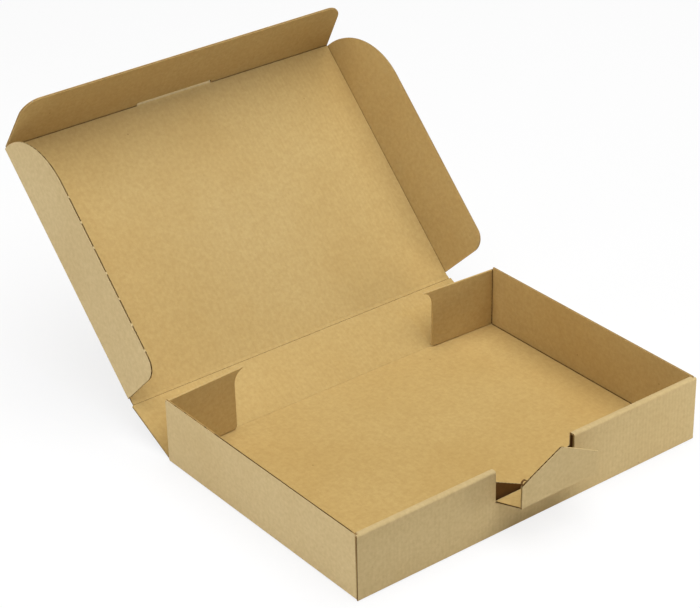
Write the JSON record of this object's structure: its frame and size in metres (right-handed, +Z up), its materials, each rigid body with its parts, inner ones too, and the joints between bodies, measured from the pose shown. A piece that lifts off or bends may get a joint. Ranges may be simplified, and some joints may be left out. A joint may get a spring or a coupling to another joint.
{
  "type": "flat mailer box",
  "caption": "Low folding mailer box of fine-flute brown board with an open hinged lid, side ears, tuck flap, rear dust flaps and a front tongue lock.",
  "frame": {"origin": "middle of the tray's underside, halfway from the front wall to the rear fold", "axes": "+X along the front wall to the right, +Y from the front wall to the lid's fold, +Z up"},
  "size_m": [0.3211, 0.4507, 0.2192],
  "materials": {
    "kraft_board": "matt"
  },
  "bodies": {
    "tray": {"tray": "kraft_board"},
    "left_rear_flap": {"left_rear_flap": "kraft_board"},
    "right_rear_flap": {"right_rear_flap": "kraft_board"},
    "rear_panel": {"rear_panel": "kraft_board"},
    "lid_score": {"lid_score": "kraft_board"},
    "lid_panel": {"lid_panel": "kraft_board"},
    "left_ear": {"left_ear": "kraft_board"},
    "right_ear": {"right_ear": "kraft_board"},
    "tuck_flap": {"tuck_flap": "kraft_board"},
    "lock_ledge": {"lock_ledge": "kraft_board"},
    "lock_tip": {"lock_tip": "kraft_board"}
  },
  "joints": [
    {"name": "left_rear_flap_fold", "type": "hinge", "parent": "tray", "child": "left_rear_flap", "pos_m": [-0.1534, 0.1072, 0], "axis": [0, 0, -1], "range_deg": [0, 88]},
    {"name": "right_rear_flap_fold", "type": "hinge", "parent": "tray", "child": "right_rear_flap", "pos_m": [0.1534, 0.1072, 0], "axis": [0, 0, 1], "range_deg": [0, 88]},
    {"name": "rear_panel_fold", "type": "hinge", "parent": "tray", "child": "rear_panel", "pos_m": [0, 0.1118, 0.0016], "axis": [-1, 0, 0], "range_deg": [-64.7, 25.3]},
    {"name": "lid_score_lower_fold", "type": "hinge", "parent": "rear_panel", "child": "lid_score", "pos_m": [0, 0.15664, 0.0228], "axis": [-1, 0, 0], "range_deg": [-35.25, 9.75]},
    {"name": "lid_score_upper_fold", "type": "hinge", "parent": "lid_score", "child": "lid_panel", "pos_m": [0, 0.1591, 0.02452], "axis": [-1, 0, 0], "range_deg": [-35.25, 9.75]},
    {"name": "left_ear_fold", "type": "hinge", "parent": "lid_panel", "child": "left_ear", "pos_m": [-0.1512, 0.1591, 0.02452], "axis": [0, -0.7096, -0.7046], "range_deg": [0, 94.8]},
    {"name": "right_ear_fold", "type": "hinge", "parent": "lid_panel", "child": "right_ear", "pos_m": [0.1512, 0.1591, 0.02452], "axis": [0, 0.7096, 0.7046], "range_deg": [-21, 73.8]},
    {"name": "tuck_fold", "type": "hinge", "parent": "lid_panel", "child": "tuck_flap", "pos_m": [0, 0.31102, 0.17538], "axis": [-1, 0, 0], "range_deg": [-13.8, 76.2]},
    {"name": "lock_ledge_fold", "type": "hinge", "parent": "tray", "child": "lock_ledge", "pos_m": [0, -0.1118, 0.0262], "axis": [1, 0, 0], "range_deg": [-73.9, 33.1]},
    {"name": "lock_tip_fold", "type": "hinge", "parent": "lock_ledge", "child": "lock_tip", "pos_m": [0, -0.13499, 0.03456], "axis": [1, 0, 0], "range_deg": [-16.7, 73.3]}
  ]
}
